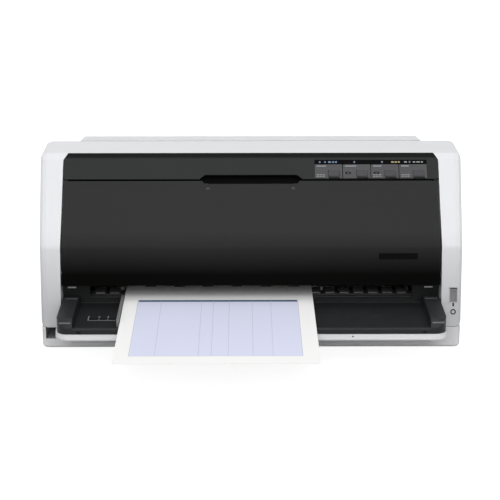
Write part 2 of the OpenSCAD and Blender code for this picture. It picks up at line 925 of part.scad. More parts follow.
// Outline of the port's shroud
function port_outline(x, z) =
  rounded([[-x + 2.4, -z], [-x, z], [x, z], [x - 2.4, -z]], [1.5, 1.5, 1.5, 1.5]);

module usb_port() {
  color(steel)
    placed()
      translate([usb_x, rear_y, port_z])
        difference() {
          union() {
            block([-8, -16, -7], [8, -0.2, 7]);
            block([-6.2, -0.3, -5.6], [6.2, 1, 5.6]);
          }
          difference() {
            block([-5.2, -10, -4.6], [5.2, 2, 4.6]);
            block([-2.9, -11, -1.6], [2.9, -0.6, 1.6]);
          }
        }
}

// ---- Chassis ----
module chassis_pan() {
  post = 6;
  color(steel)
    placed()
      difference() {
        union() {
          block([-frame_x - 8, 30, pan_z], [frame_x + 8, 262, pan_top]);
          // posts of the main board
          for (x = [board_x + 6, board_x + board_w - 8], y = [144, 250])
            translate([x, y, pan_top]) cylinder(h = post, r = 3);
        }
        for (i = [-3 : 3], x = i * (frame_x - 52) / 3, y = [112, 124])
          translate([x, y, pan_z - 1]) cylinder(h = 10, r = 4);
      }
}

// Outline of a side frame: a pressed plate with the shaft bores
module side_plate() {
  outline = rounded(
    [[31, pan_top], [28, 48], [28, 74], [40, 110], [132, 112], [140, 78], [242, 78], [250, pan_top]],
    [4, 6, 6, 12, 10, 14, 10, 4]
  );
  difference() {
    polygon(outline);
    polygon(rounded([[150, 20], [150, 44], [236, 44], [244, 20]], [6, 6, 6, 6]));
    polygon(rounded([[108, 16], [108, 34], [136, 34], [136, 16]], [6, 6, 6, 6]));
  }
}

module shaft_bores(x0, x1) {
  on_path() {
    translate([0, front_roller_y, -roller_drop]) bar(x0, x1, bush_r + 0.02);
    translate([0, rear_roller_y, -roller_drop]) bar(x0, x1, bush_r + 0.02);
    translate([0, front_roller_y, pinch_lift]) bar(x0, x1, pinch_shaft_r + run_gap);
    translate([0, rear_roller_y, pinch_lift]) bar(x0, x1, pinch_shaft_r + run_gap);
  }
  translate([0, guide_y, guide_z]) bar(x0, x1, guide_r + 0.02);
}

module side_frame() {
  difference() {
    union() {
      across(frame_x, frame_x + frame_t) side_plate();
      // foot flange on the pan
      block([frame_x, 40, pan_top], [frame_x + 7.5, 244, pan_top + frame_t]);
    }
    shaft_bores(frame_x - 1, frame_x + frame_t + 1);
    for (y = [60, 150, 230])
      translate([frame_x + 5, y, pan_top - 1]) cylinder(h = 6, r = 1.6);
  }
}

module left_side_frame() {
  color(steel)
    placed()
      difference() {
        mirror([1, 0, 0]) side_frame();
        // bores of the idler axle and of the feed motor's boss
        on_path() {
          translate([0, idler_y, -roller_drop]) bar(-frame_x - frame_t - 1, -frame_x + 1, 3 + 0.02);
          translate([0, pinion_pos[0], pinion_pos[1]]) bar(-frame_x - frame_t - 1, -frame_x + 1, 7.6);
        }
      }
}

module right_side_frame() {
  color(steel) placed() side_frame();
}

cross_y = 126;

module rear_cross_frame() {
  color(steel)
    placed()
      difference() {
        union() {
          block([-frame_x, cross_y, 72], [frame_x, cross_y + frame_t, 110]);
          block([-frame_x, cross_y - 10, 108], [frame_x, cross_y + frame_t, 110]);
        }
        for (i = [-2 : 2], x = i * (frame_x - 82) / 2)
          translate([x, cross_y - 1, 91]) rotate([-90, 0, 0]) cylinder(h = 6, r = 9);
        both_sides()
          translate([-pulley_x, cross_y - 1, belt_z]) rotate([-90, 0, 0]) cylinder(h = 6, r = 2.5 + 0.3);
      }
}

module platen() {
  color(dark)
    placed()
      on_path()
        difference() {
          across(-frame_x + 0.3, frame_x - 0.3)
            polygon(rounded(
              [
                [print_y - 7, -8.6],
                [print_y - 7, -sheet_t - 1.2],
                [print_y - 4, -sheet_t - sheet_gap],
                [print_y + 4, -sheet_t - sheet_gap],
                [print_y + 7, -sheet_t - 1.2],
                [print_y + 7, -8.6]
              ],
              [0, 1, 1, 1, 1, 0]
            ));
          across(-frame_x + 6, frame_x - 6)
            polygon([[print_y - 4.5, -9], [print_y - 4.5, -4], [print_y + 4.5, -4], [print_y + 4.5, -9]]);
        }
}

// ---- Rollers and gears ----
bush_r = 7;
idler_y = (front_roller_y + rear_roller_y) / 2;
pinion_dir = [cos(pinion_angle), sin(pinion_angle)];
pinion_pos = [idler_y, -roller_drop] + (idler_teeth + pinion_teeth) / 2 * pinion_dir;

module front_feed_roller() {
  color(sleeve_grey)
    placed()
      on_path()
        translate([0, front_roller_y, -roller_drop])
          union() {
            bar(-gear_x - gear_w, frame_x + frame_t + 3, roller_shaft_r);
            for (i = [0 : sleeve_n - 1])
              translate([(i - (sleeve_n - 1) / 2) * sleeve_pitch, 0, 0])
                bar(-sleeve_w / 2, sleeve_w / 2, roller_r);
          }
}

module rear_feed_roller() {
  rear_n = 11;
  rear_pitch = sleeve_pitch * 2;
  color(rubber)
    placed()
      on_path()
        translate([0, rear_roller_y, -roller_drop])
          union() {
            bar(-gear_x - gear_w, frame_x + frame_t + 3, roller_shaft_r);
            for (i = [0 : rear_n - 1])
              translate([(i - (rear_n - 1) / 2) * rear_pitch, 0, 0]) bar(-sleeve_w, sleeve_w, roller_r);
          }
}

module pinch_set(y, n, w) {
  pitch = sleeve_pitch * 2;
  on_path()
    translate([0, y, pinch_lift])
      union() {
        bar(-frame_x - frame_t - 1, frame_x + frame_t + 1, pinch_shaft_r);
        for (i = [0 : n - 1])
          translate([(i - (n - 1) / 2) * pitch, 0, 0]) bar(-w / 2, w / 2, pinch_r);
      }
}

module front_pinch_rollers() color(dark) placed() pinch_set(front_roller_y, 10, sleeve_w);
module rear_pinch_rollers() color(dark) placed() pinch_set(rear_roller_y, 10, sleeve_w);

module roller_bushes() {
  color([0.86, 0.84, 0.76])
    placed()
      on_path()
        for (side = [-1, 1], y = [front_roller_y, rear_roller_y])
          translate([side * (frame_x + frame_t / 2), y, -roller_drop])
            difference() {
              union() {
                bar(-frame_t / 2 - 1, frame_t / 2 + 1, bush_r);
                translate([side * (frame_t / 2 + 1), 0, 0]) bar(-0.8, 0.8, bush_r + 1.5);
              }
              bar(-10, 10, roller_shaft_r + run_gap);
            }
}

// Half angle of an involute tooth at radius r, for pitch radius p
pressure = 20;
function involute(a) = tan(a) * 180 / PI - a;
function flank(r, p, teeth) =
  let (base = p * cos(pressure), a = r > base ? acos(base / r) : 0)
  90 / teeth * 0.94 + involute(pressure) - involute(a);

// Outline of a spur gear of module 1 with a tooth at angle phase
function gear_outline(teeth, phase) =
  let (p = teeth / 2, radii = [p - 1.2, max(p * cos(pressure), p - 1.1), p, p + 0.5, p + 0.92])
  [
    for (i = [0 : teeth - 1])
      let (mid = phase + i * 360 / teeth)
      each concat(
        [for (r = radii) turned([r, 0], mid - flank(r, p, teeth))],
        [for (r = reversed(radii)) turned([r, 0], mid + flank(r, p, teeth))]
      )
  ];

// Spur gear round the X axis, from x0 outwards to x1, with its bore
module gear(teeth, phase, x0, x1, bore) {
  difference() {
    across(x0, x1) polygon(gear_outline(teeth, phase));
    bar(x0 - 1, x1 + 1, bore);
  }
}

module roller_gear(y) {
  on_path()
    translate([0, y, -roller_drop])
      difference() {
        union() {
          gear(gear_teeth, 180 / gear_teeth, -gear_x - gear_w + 0.5, -gear_x, roller_shaft_r + 0.02);
          difference() {
            bar(-gear_x, -frame_x - frame_t - 3, roller_shaft_r + 3);
            bar(-gear_x - 1, -frame_x, roller_shaft_r + 0.02);
          }
        }
        for (a = [0 : 60 : 300])
          rotate([a, 0, 0]) translate([0, 12, 0]) bar(-gear_x - gear_w - 1, -gear_x + 1, 2.6);
      }
}

module front_roller_gear() color([0.88, 0.87, 0.82]) placed() roller_gear(front_roller_y);
module rear_roller_gear() color([0.88, 0.87, 0.82]) placed() roller_gear(rear_roller_y);

module idler_gear() {
  color([0.88, 0.87, 0.82])
    placed()
      on_path()
        translate([0, idler_y, -roller_drop])
          union() {
            across(-gear_x - gear_w + 0.5, -gear_x) polygon(gear_outline(idler_teeth, 0));
            bar(-gear_x, -frame_x - frame_t - 0.3, 5);
            bar(-frame_x - frame_t - 0.5, -frame_x, 3 - run_gap);
          }
}

module motor_pinion() {
  color([0.75, 0.62, 0.30])
    placed()
      on_path()
        translate([0, pinion_pos[0], pinion_pos[1]])
          union() {
            across(-gear_x - gear_w, -gear_x + 0.5)
              polygon(gear_outline(pinion_teeth, pinion_angle + 180 + 180 / pinion_teeth));
            bar(-gear_x + 0.5, -frame_x + 6, 2);
          }
}

module feed_motor() {
  color(dark)
    placed()
      on_path()
        translate([0, pinion_pos[0], pinion_pos[1]])
          difference() {
            union() {
              bar(-frame_x + 0.05, -frame_x + 32, 17.6);
              bar(-frame_x - 1.5, -frame_x + 1, 7.5);
            }
            bar(-frame_x - 3, -frame_x + 8, 2 + run_gap);
          }
}

// ---- Paper guides ----
// Top of the end walls, under the cover's swinging lower edge
screen_z = 64.4;

module front_paper_guide() {
  low = tray_floor_z - 2;
  color(dark)
    placed()
      union() {
        across(-frame_x, frame_x)
          polygon([
            [10.3, low - 3], [10.3, 48], [12, 49.4], [13.6, 49.4], [14.4, 48], [17, 48], [17.6, 49.8],
            [19.4, 49.8], [20.2, 48.4], [23, 48.6], [24, 50.6], [26.6, 51.4], [26.6, low - 3]
          ]);
        // walls that screen the gears at the ends
        both_sides() block([frame_x - 6, 12.5, low - 3], [inner_x - 0.5, 15.5, screen_z]);
        // legs on the floor of the lower case
        for (x = [-frame_x + 6, -73, 67, frame_x - 12])
          block([x, 10.3, foot_h + case_wall], [x + 6, 26.6, low]);
      }
}

module rear_paper_guide() {
  color([0.62, 0.63, 0.65])
    placed()
      on_path()
        difference() {
          union() {
            block([-frame_x, rear_roller_y + 12, -sheet_t - 3], [frame_x, rear_y - 14, -sheet_t - 1.2]);
            // side flanges that stand against the frames
            both_sides() block([frame_x - 2, rear_roller_y + 12, -12], [frame_x, rear_y - 36, -2]);
          }
          for (i = [-5 : 5], x = i * (frame_x - 32) / 5)
            block([x - 10, rear_roller_y + 24, -6], [x + 10, rear_roller_y + 28, 1]);
        }
}

// ---- Carriage ----
belt_z = 92;
belt_y = 118;
belt_run = belt_z + pulley_r + 0.3;

module carriage_shaft() {
  color(steel)
    placed()
      translate([0, guide_y, guide_z]) bar(-frame_x - frame_t - 1, frame_x + frame_t + 1, guide_r);
}

rail_y = 44;
rail_z = 92;

module carriage_rail() {
  color(steel)
    placed()
      across(-frame_x, frame_x)
        polygon([
          [rail_y, rail_z - 14],
          [rail_y, rail_z],
          [rail_y + 7, rail_z],
          [rail_y + 7, rail_z - 1.6],
          [rail_y + 1.6, rail_z - 1.6],
          [rail_y + 1.6, rail_z - 14]
        ]);
}

// Platform of the print head
deck_z = 84;
deck_t = 5;

module carriage() {
  half = carriage_w / 2;
  color([0.22, 0.22, 0.24])
    placed()
      difference() {
        union() {
          // bearing block on the shaft
          across(-half, half)
            polygon(rounded([[86, 72], [86, 97], [112, 97], [112, 72]], [2, 5, 5, 2]));
          // platform that holds the print head
          block([-half, 52.5, deck_z], [half, 88, deck_z + deck_t]);
          // front shoe on the rail
          block([-half, rail_y - 0.7, rail_z + 0.3], [half, 56, rail_z + 3.3]);
          block([-half, 52.5, deck_z], [half, 56, rail_z + 3.3]);
          // belt clamp
          block([-10, 110, belt_run - 3.5], [10, belt_y - 0.5, belt_run + belt_t + 3]);
          block([-10, belt_y - 0.6, belt_run - 3.5], [10, belt_y + belt_w + 0.8, belt_run - 0.3]);
          block(
            [-10, belt_y - 0.6, belt_run + belt_t + 0.3],
            [10, belt_y + belt_w + 0.8, belt_run + belt_t + 3]
          );
        }
        translate([0, guide_y, guide_z]) bar(-half - 1, half + 1, guide_r + run_gap);
        // seat of the print head
        translate([0, print_y, 80]) cylinder(h = 20, r = 13.2);
      }
}

module print_head() {
  nose = path_z + print_y * sin(path_slope) + 2.4;
  fin = carriage_w / 2 - 10;
  color([0.45, 0.46, 0.48])
    placed()
      translate([0, print_y, 0])
        union() {
          translate([0, 0, nose]) cylinder(h = 12.1, r1 = 5, r2 = 9);
          translate([0, 0, nose + 12]) cylinder(h = 21, r = 13);
          // flange on the carriage
          translate([0, 0, deck_z + deck_t + 0.2])
            linear_extrude(2.8) polygon(plan(fin, -2.6, fin - 5, 2, 4));
          // cooling fins
          for (i = [0 : 5])
            translate([0, 0, deck_z + deck_t + 8 + i * 4])
              linear_extrude(1.8) polygon(plan(fin, 3 - fin, fin - 3, 5, 5));
          translate([0, 0, deck_z + deck_t + 1]) cylinder(h = 28.8, r = 9.5);
        }
}

module ribbon_mask() {
  top = path_z + print_y * sin(path_slope);
  color([0.55, 0.56, 0.58])
    placed()
      translate([0, print_y, top + 2.5])
        difference() {
          union() {
            translate([0, 0, 3]) cylinder(h = 6, r = 14);
            both_sides() block([13, -4, 3], [26, 4, 7]);
            // posts up to the platform
            both_sides() block([19, -3, 6], [25, 3, 84 - top - 2.7]);
          }
          translate([0, 0, -1]) cylinder(h = 12, r = 9.3);
        }
}

cart_z = 80;
cart_front = 17;
cart_rear = 42;
arm_x = frame_x - 20;
// Width of the cartridge's arms
cart_arm = 12;
// Lower end of the arms over the sheet
arm_low = path_z + 3.6;

module ribbon_cartridge() {
  color(dark)
    placed()
      difference() {
        union() {
          translate([0, 0, cart_z])
            linear_extrude(18)
              plan_between(-arm_x - cart_arm, arm_x + cart_arm, cart_front, cart_rear, 6);
          // arms that lead the ribbon down to the print line
          both_sides() {
            block([arm_x, cart_rear - 2, cart_z], [arm_x + cart_arm, print_y + 12, cart_z + 18]);
            block([arm_x, print_y - 10, arm_low], [arm_x + cart_arm, print_y + 12, cart_z + 1]);
            // lugs on the side frames
            block([arm_x + cart_arm - 1, cart_rear - 9, cart_z + 4], [frame_x - 0.3, cart_rear - 2, cart_z + 10]);
          }
        }
        // notches over the carriage's rail
        both_sides() block([arm_x - 1, rail_y - 0.5, cart_z - 1], [frame_x, rail_y + 7.5, rail_z + 0.4]);
        // slots that the ribbon leaves by
        both_sides() block([arm_x - 1, print_y - 7, arm_low - 1], [arm_x + 2.5, print_y + 7, arm_low + 4.4]);
        translate([knob_x, knob_y, cart_z + 12]) cylinder(h = 12, r = 3 + run_gap);
      }
}

module plan_between(x0, x1, y0, y1, r)
  polygon(rounded([[x0, y0], [x0, y1], [x1, y1], [x1, y0]], [r, r, r, r]));

knob_x = frame_x - 52;
knob_y = 29;

module ribbon_knob() {
  color([0.75, 0.76, 0.78])
    placed()
      translate([knob_x, knob_y, cart_z + 12.3]) {
        cylinder(h = 6, r = 3);
        difference() {
          translate([0, 0, 5.9]) cylinder(h = 7, r1 = 9, r2 = 8);
          for (a = [0 : 30 : 330])
            rotate([0, 0, a]) translate([9.6, 0, 5]) cylinder(h = 10, r = 1.6);
        }
      }
}

module ribbon() {
  z = path_z + print_y * sin(path_slope) + 1.7;
  color([0.08, 0.07, 0.10])
    placed()
      block([-arm_x - 2.3, print_y - 6.5, z], [arm_x + 2.3, print_y + 6.5, z + 0.3]);
}

module pulley() {
  rotate([-90, 0, 0]) {
    cylinder(h = belt_w, r = pulley_r);
    translate([0, 0, -1]) cylinder(h = 1, r = pulley_r + 2.5);
    translate([0, 0, belt_w]) cylinder(h = 0.8, r = pulley_r + 2.5);
  }
}

module carriage_pulley() {
  color(steel)
    placed()
      translate([-pulley_x, belt_y, belt_z])
        union() {
          pulley();
          rotate([-90, 0, 0]) cylinder(h = 14, r = 2.5);
        }
}

module tension_pulley() {
  color(steel)
    placed()
      translate([pulley_x, belt_y, belt_z])
        union() {
          pulley();
          rotate([-90, 0, 0]) cylinder(h = 12, r = 2.5);
        }
}

module timing_belt() {
  color(rubber)
    placed()
      translate([0, belt_y + belt_w, belt_z])
        rotate([90, 0, 0])
          linear_extrude(belt_w)
            difference() {
              belt_loop(pulley_r + 0.3 + belt_t);
              belt_loop(pulley_r + 0.3);
            }
}

module belt_loop(r) {
  translate([-pulley_x, -r]) square([2 * pulley_x, 2 * r]);
  translate([-pulley_x, 0]) circle(r);
  translate([pulley_x, 0]) circle(r);
}

module carriage_motor() {
  color(dark)
    placed()
      translate([-pulley_x, cross_y + frame_t, belt_z])
        rotate([-90, 0, 0])
          difference() {
            union() {
              cylinder(h = 34, r = 18);
              translate([0, 0, 34]) cylinder(h = 2, r = 6);
            }
            translate([0, 0, -1]) cylinder(h = 7, r = 2.5 + run_gap);
          }
}

// ---- Electronics ----
board_x = 6 - frame_x;
board_w = 254;
// Parts on the board: distance from its left edge, depth, width, length and height
board_parts = [
  [36, 160, 30, 30, 3],
  [86, 170, 40, 14, 4],
  [126, 220, 16, 16, 12],
  [166, 160, 24, 24, 3],
  [206, 200, 12, 30, 8],
  [26, 215, 20, 20, 10]
];

module main_board() {
  z = pan_top + 6;
  color([0.10, 0.35, 0.20])
    placed()
      union() {
        block([board_x, 138, z], [board_x + board_w, 258, z + 1.6]);
        for (c = board_parts)
          block([board_x + c[0], c[1], z + 1.5], [board_x + c[0] + c[2], c[1] + c[3], z + 1.6 + c[4]]);
        for (i = [0 : 4])
          translate([board_x + 156 + i * 14, 235, z + 1.5]) cylinder(h = 14, r = 5);
      }
}

supply_x = frame_x - 102;

module power_supply() {
  color(steel)
    placed()
      difference() {
        block([supply_x, 136, pan_top], [frame_x - 8, 256, 50]);
        for (i = [0 : 9])
          block([supply_x + 8 + i * 8, 146, 46], [supply_x + 12 + i * 8, 246, 52]);
      }
}

// ---- Sheet ----
sheet_near = -sheet_front / cos(path_slope);

module paper_sheet() {
  color([0.97, 0.97, 0.97])
    placed()
      on_path()
        block([sheet_x, sheet_near, -sheet_t], [sheet_x + sheet_w, sheet_near + sheet_l, 0]);
}

lower_case();
upper_case();
front_cover();
cover_pins();
panel_strip();
panel_bezel();
key_fields();
pause_button();
tear_off_button();
font_button();
feed_button();
indicator_lights();
switch_bezel();
power_rocker();
front_sheet_guide();
edge_guide();
guide_studs();
rear_sheet_guide();
rear_guide_rod();
rubber_feet();
case_screws();
mains_inlet();
parallel_port();
usb_port();
chassis_pan();
left_side_frame();
right_side_frame();
rear_cross_frame();
platen();
front_feed_roller();
rear_feed_roller();
front_pinch_rollers();
rear_pinch_rollers();
roller_bushes();
feed_motor();
motor_pinion();
idler_gear();
front_roller_gear();
rear_roller_gear();
front_paper_guide();
rear_paper_guide();
carriage_shaft();
carriage_rail();
carriage();
print_head();
ribbon_mask();
ribbon_cartridge();
ribbon();
ribbon_knob();
carriage_motor();
carriage_pulley();
tension_pulley();
timing_belt();
main_board();
power_supply();
paper_sheet();
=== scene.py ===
import json
import math

import bpy
from mathutils import Euler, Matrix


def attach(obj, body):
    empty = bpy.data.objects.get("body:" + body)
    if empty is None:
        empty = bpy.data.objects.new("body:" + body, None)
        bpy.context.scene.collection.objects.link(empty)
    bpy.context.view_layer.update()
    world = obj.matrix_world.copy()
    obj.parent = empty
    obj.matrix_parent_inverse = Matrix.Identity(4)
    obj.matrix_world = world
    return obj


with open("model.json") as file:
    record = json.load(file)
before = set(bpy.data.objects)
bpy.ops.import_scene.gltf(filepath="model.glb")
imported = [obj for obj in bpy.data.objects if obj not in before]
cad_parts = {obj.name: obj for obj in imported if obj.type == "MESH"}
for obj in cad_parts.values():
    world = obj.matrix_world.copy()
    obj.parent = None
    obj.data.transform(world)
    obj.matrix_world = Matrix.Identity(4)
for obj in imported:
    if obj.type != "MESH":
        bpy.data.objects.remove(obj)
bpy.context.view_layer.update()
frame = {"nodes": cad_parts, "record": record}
nodes = frame["nodes"]
MM = 0.001

X, Y, Z = range(3)


def span(node, axis):
    """Least and greatest place in mm of a node's points along an axis of the frame."""
    o = nodes[node]
    reach = [(o.matrix_world @ v.co)[axis] / MM for v in o.data.vertices]
    return min(reach), max(reach)


# ---- Places ----
# Sizes are in mm. Depths count back from the nose, the line where the cover's two faces meet.
TOE_RUN = 18.0  # the towers' foot stands this far in front of the nose
TOE_RISE = 90.0  # and this far below it
NOSE_Y = span("upper_case", Y)[0] + TOE_RUN
NOSE_Z = span("upper_case", Z)[0] + TOE_RISE
FACE = math.radians(53.5)  # slope of the front above the nose
SEAM = 80.5  # way up that slope from the nose to the cover's top edge
TOE = math.atan2(TOE_RISE, TOE_RUN)  # slope of the faces below the nose
PATH = math.radians(1.45)  # slope of the sheet
PATH_Z = 54.0  # height of the sheet's upper face at the nose's depth


def flat(x, y, z):
    """x across, y behind the nose, z above the floor."""
    return (x * MM, (y + NOSE_Y) * MM, z * MM)


def plane(depth, height, angle):
    """Frame on a sloping face: x across, y up the face from this depth and height, z out of it."""
    c, s = math.cos(angle), math.sin(angle)
    return lambda x, y, z: flat(x, depth + y * c - z * s, height + y * s + z * c)


def on_toe(height):
    """Frame on the faces below the nose, with its origin at this height."""
    return plane(-(NOSE_Z - height) / math.tan(TOE), height, TOE)


on_slope = plane(SEAM * math.cos(FACE), NOSE_Z + SEAM * math.sin(FACE), FACE)
on_sheet = plane(0.0, PATH_Z, PATH)


# ---- Nodes that the materials share ----
def shader(name, metallic=0.0, **sockets):
    m = bpy.data.materials.new(name)
    m.use_nodes = True
    p = m.node_tree.nodes["Principled BSDF"]
    p.inputs["Metallic"].default_value = metallic
    for key, value in sockets.items():
        p.inputs[key.replace("_", " ")].default_value = value
    return m, m.node_tree, p


def add(tree, kind, **values):
    node = tree.nodes.new("ShaderNode" + kind)
    for key, value in values.items():
        node.inputs[key.replace("_", " ")].default_value = value
    return node


def object_place(tree):
    return add(tree, "TexCoord").outputs["Object"]


def noise(tree, scale, detail=3.0, stretch=(1.0, 1.0, 1.0), rough=0.5):
    mapping = add(tree, "Mapping", Scale=stretch)
    tex = add(tree, "TexNoise", Scale=scale, Detail=detail, Roughness=rough)
    tree.links.new(object_place(tree), mapping.inputs["Vector"])
    tree.links.new(mapping.outputs["Vector"], tex.inputs["Vector"])
    return tex.outputs["Fac"]


def ramp(tree, source, stops):
    """Colour ramp from the first stop to the last, each a position and a colour."""
    node = add(tree, "ValToRGB")
    for element, (position, value) in zip(node.color_ramp.elements, (stops[0], stops[-1])):
        element.position = position
        element.color = value
    for position, value in stops[1:-1]:
        node.color_ramp.elements.new(position).color = value
    tree.links.new(source, node.inputs["Fac"])
    return node.outputs["Color"]


def scaled(color, k):
    return tuple(min(1.0, c * k) for c in color) + (1.0,)


def worn(tree, p, source, low, high):
    """Roughness that wanders between low and high with the middle tones of the source."""
    node = add(tree, "MapRange", From_Min=0.3, From_Max=0.7, To_Min=low, To_Max=high)
    tree.links.new(source, node.inputs["Value"])
    tree.links.new(node.outputs["Result"], p.inputs["Roughness"])


def raised(tree, p, source, strength, distance=0.0002):
    """Bump from the source, with its height in metres."""
    node = add(tree, "Bump", Strength=strength, Distance=distance)
    tree.links.new(source, node.inputs["Height"])
    tree.links.new(node.outputs["Normal"], p.inputs["Normal"])


# ---- Kinds of material ----
def surface(name, color, rough, metallic=0.0, tone=0.04, grain=2200.0, bump=0.12,
            stretch=(1.0, 1.0, 1.0), scuff=0.06, **sockets):
    """Grained surface: soft tone changes, fine bump and worn patches in the roughness."""
    m, tree, p = shader(name, metallic, **sockets)
    broad = noise(tree, scale=14.0, detail=4.0)
    shade = ramp(tree, broad, [(0.3, scaled(color, 1.0 - tone)), (0.7, scaled(color, 1.0 + tone))])
    tree.links.new(shade, p.inputs["Base Color"])
    worn(tree, p, noise(tree, 55.0, 6.0, stretch, rough=0.65), rough - scuff, rough + scuff)
    raised(tree, p, noise(tree, grain, 2.0, stretch), bump)
    return m


def shade_by_height(name, top, bottom, z_top, z_bottom, rough, gloss):
    """Plastic with painted light and shade: its tone changes between two heights in mm, with wiping marks
    in its gloss.
    """
    m, tree, p = shader(name, Specular_IOR_Level=gloss)
    split = add(tree, "SeparateXYZ")
    height = add(tree, "MapRange", From_Min=z_bottom * MM, From_Max=z_top * MM)
    tree.links.new(object_place(tree), split.inputs["Vector"])
    tree.links.new(split.outputs["Z"], height.inputs["Value"])
    shade = ramp(tree, height.outputs["Result"], [(0.0, bottom + (1.0,)), (1.0, top + (1.0,))])
    tree.links.new(shade, p.inputs["Base Color"])
    wiped = noise(tree, scale=30.0, detail=6.0, stretch=(0.3, 1.0, 1.0), rough=0.7)
    worn(tree, p, wiped, rough - 0.05, rough + 0.07)
    raised(tree, p, noise(tree, scale=900.0, detail=2.0), 0.05, 0.0001)
    return m


def woven(name, color, rough, pitch):
    """Fabric with a plain weave of this pitch in metres."""
    m, tree, p = shader(name)
    both = add(tree, "Math")
    both.operation = "MULTIPLY"
    for axis, socket in zip("XY", both.inputs):
        wave = add(tree, "TexWave", Scale=1.0 / pitch, Distortion=0.4)
        wave.bands_direction = axis
        tree.links.new(object_place(tree), wave.inputs["Vector"])
        tree.links.new(wave.outputs["Fac"], socket)
    weave = both.outputs["Value"]
    shade = ramp(tree, weave, [(0.0, scaled(color, 0.7)), (1.0, scaled(color, 1.5))])
    tree.links.new(shade, p.inputs["Base Color"])
    worn(tree, p, noise(tree, scale=60.0), rough - 0.05, rough + 0.05)
    raised(tree, p, weave, 0.4)
    return m


def circuit(name, green, trace):
    """Green board with lighter copper tracks under its lacquer."""
    m, tree, p = shader(name)
    brick = add(tree, "TexBrick", Scale=90.0, Mortar_Size=0.08, Color1=green + (1.0,),
                Color2=scaled(green, 0.9), Mortar=trace + (1.0,))
    tree.links.new(object_place(tree), brick.inputs["Vector"])
    tree.links.new(brick.outputs["Color"], p.inputs["Base Color"])
    worn(tree, p, noise(tree, scale=60.0), 0.28, 0.42)
    raised(tree, p, brick.outputs["Fac"], 0.2, 0.0001)
    return m


# ---- Materials, one for each slot, and those of the marks ----
ALONG_X = (0.05, 1.0, 1.0)  # draws the grain out across the printer
MATS = {}


def make(kind, name, *values, **options):
    MATS[name] = kind(name, *values, **options)


# white and grey plastics of the case: painted shade darkens the towers towards their foot, painted light
# lightens the base towards the floor
make(shade_by_height, "case_white", (0.70, 0.705, 0.725), (0.47, 0.473, 0.487), 132, 40, 0.50, gloss=0.15)
make(shade_by_height, "case_lower", (0.58, 0.58, 0.595), (0.72, 0.72, 0.735), 34, 8, 0.55, gloss=0.2)
make(surface, "flap_white", (0.55, 0.55, 0.565), 0.50, tone=0.015)
make(surface, "bezel_grey", (0.42, 0.42, 0.43), 0.50, tone=0.03, bump=0.10)
make(surface, "rocker_grey", (0.20, 0.20, 0.205), 0.42)

# dark plastics of the front
# smoked cover: painted shade darkens it from its upper face down to its foot
make(shade_by_height, "cover_smoke", (0.0305, 0.0305, 0.031), (0.0006, 0.0005, 0.0004), 130, 84, 0.40, gloss=0.02)
# panel strip: painted shade darkens the bevel along its top edge
make(shade_by_height, "panel_dark", (0.006, 0.0065, 0.0063), (0.029, 0.031, 0.030), 203.2, 201.8, 0.50, gloss=0.04)
make(surface, "panel_black", (0.0018, 0.0018, 0.0022), 0.60, tone=0.05, bump=0.05,
     Specular_IOR_Level=0.03)
make(surface, "key_grey", (0.048, 0.048, 0.051), 0.50, tone=0.03, bump=0.10, Specular_IOR_Level=0.3)
make(surface, "button_grey", (0.034, 0.034, 0.038), 0.50, bump=0.10, Specular_IOR_Level=0.3)
make(surface, "lens", (0.10, 0.14, 0.20), 0.20, tone=0.05, bump=0.02)
make(surface, "guide_dark", (0.0145, 0.0153, 0.0160), 0.48, tone=0.06, bump=0.14,
     Specular_IOR_Level=0.15)
# painted highlight colour for the rear edges of the sheet guide's arms
make(surface, "edge_grey", (0.16, 0.16, 0.165), 0.45, tone=0.03, bump=0.10)
# painted highlight colour for the rounded front tops of the sheet guide's arms
make(surface, "edge_worn", (0.050, 0.051, 0.053), 0.45, tone=0.03, bump=0.10)

# rubber, plastics and fabric of the inside
make(surface, "rubber", (0.018, 0.018, 0.018), 0.78, tone=0.10, bump=0.25)
make(surface, "platen_dark", (0.03, 0.03, 0.03), 0.6, bump=0.10)
make(surface, "roller_rubber", (0.026, 0.026, 0.027), 0.40, tone=0.08, bump=0.1)
make(surface, "gear_plastic", (0.66, 0.64, 0.56), 0.46, tone=0.03, bump=0.06)
make(surface, "motor_black", (0.022, 0.022, 0.024), 0.38, tone=0.05, bump=0.10)
make(woven, "ribbon_fabric", (0.010, 0.010, 0.014), 0.75, pitch=0.002)
make(circuit, "board_green", (0.012, 0.10, 0.035), trace=(0.05, 0.22, 0.09))

# metals
make(surface, "steel", (0.55, 0.55, 0.56), 0.32, 1.0, stretch=ALONG_X, bump=0.05)
make(surface, "port_steel", (0.52, 0.52, 0.53), 0.36, 1.0, bump=0.05)
make(surface, "sheet_steel", (0.50, 0.51, 0.51), 0.42, 1.0, tone=0.08, grain=700.0,
     stretch=(0.2, 1.0, 1.0), bump=0.08)
make(surface, "shaft_steel", (0.62, 0.62, 0.63), 0.16, 1.0, tone=0.03, stretch=ALONG_X, bump=0.03,
     scuff=0.04)
make(surface, "head_aluminium", (0.50, 0.51, 0.52), 0.40, 1.0, tone=0.08, grain=900.0, bump=0.15)
make(surface, "brass", (0.62, 0.44, 0.18), 0.30, 1.0, tone=0.06, bump=0.05)

